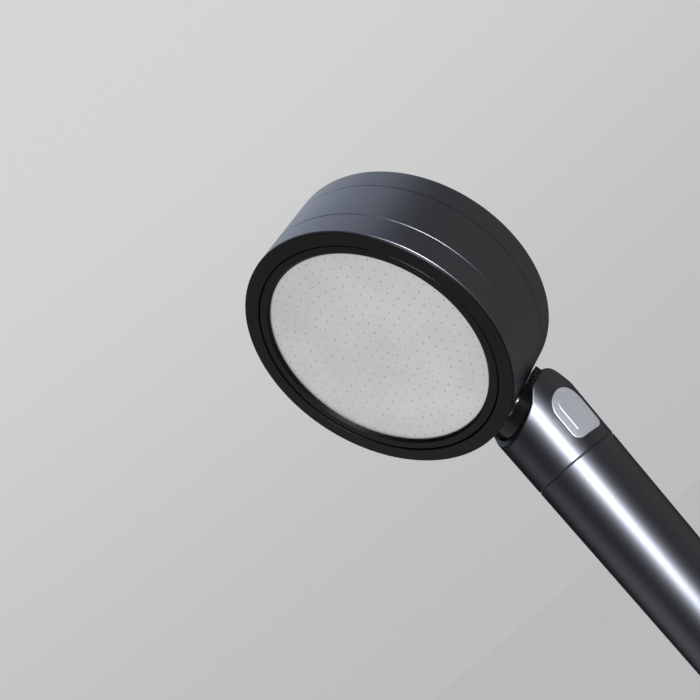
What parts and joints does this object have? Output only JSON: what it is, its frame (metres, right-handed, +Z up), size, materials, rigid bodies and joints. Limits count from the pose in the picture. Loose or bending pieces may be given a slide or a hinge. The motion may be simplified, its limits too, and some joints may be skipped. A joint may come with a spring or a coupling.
{
  "type": "handheld shower head",
  "caption": "Handheld shower head: a flat round spray drum on a swivel neck, a side push button that stops the water, and a slim tapered handle with a hose thread.",
  "frame": {"origin": "on the axis of the hose thread, where its full diameter begins", "axes": "+Z up along the handle toward the drum, spray face toward -Y and downward, stop button on +X"},
  "size_m": [0.09, 0.0663, 0.2629],
  "materials": {
    "gunmetal": "satin, dark blue-grey anodised",
    "face_black": "fine matt",
    "collar_black": "glossy, finely ribbed",
    "button_silver": "satin silver-grey plating",
    "spray_steel": "fine satin, perforated",
    "fastener_steel": "bright",
    "chamber_plastic": "moulded",
    "valve_plastic": "black acetal, smooth",
    "washer_plastic": "smooth",
    "plated_brass": "satin chrome over brass",
    "seal_rubber": "moulded"
  },
  "bodies": {
    "handle": {"handle_tube": "gunmetal", "seam_gasket": "seal_rubber", "water_tube": "valve_plastic", "tube_seals": "seal_rubber", "hose_connector": "plated_brass", "connector_seal": "seal_rubber", "inlet_strainer": "fastener_steel", "valve_housing": "gunmetal", "valve_body": "valve_plastic", "valve_plug": "valve_plastic", "swivel_nut": "valve_plastic", "friction_washer": "washer_plastic", "button_spring": "fastener_steel"},
    "head": {"rear_cap": "gunmetal", "drum_shell": "gunmetal", "front_ring": "gunmetal", "face_bezel": "face_black", "plate_retainer": "face_black", "spray_plate": "spray_steel", "plate_gasket": "seal_rubber", "water_chamber": "chamber_plastic", "flow_diffuser": "chamber_plastic", "casing_screws": "fastener_steel", "neck_spigot": "plated_brass", "spigot_seals": "seal_rubber", "swivel_collar": "collar_black"},
    "button": {"stop_button": "button_silver", "valve_spool": "valve_plastic", "spool_seals": "seal_rubber"}
  },
  "joints": [
    {"name": "head_swivel", "type": "hinge", "parent": "handle", "child": "head", "pos_m": [0, -0.01929, 0.21444], "axis": [0, 0.3689, -0.9295], "continuous": true},
    {"name": "button_press", "type": "slide", "parent": "handle", "child": "button", "axis": [-1, 0, 0], "range_m": [0, 0.002], "stiffness_N_per_m": 600, "springref_m": -0.003, "deforming": ["button_spring"]}
  ]
}
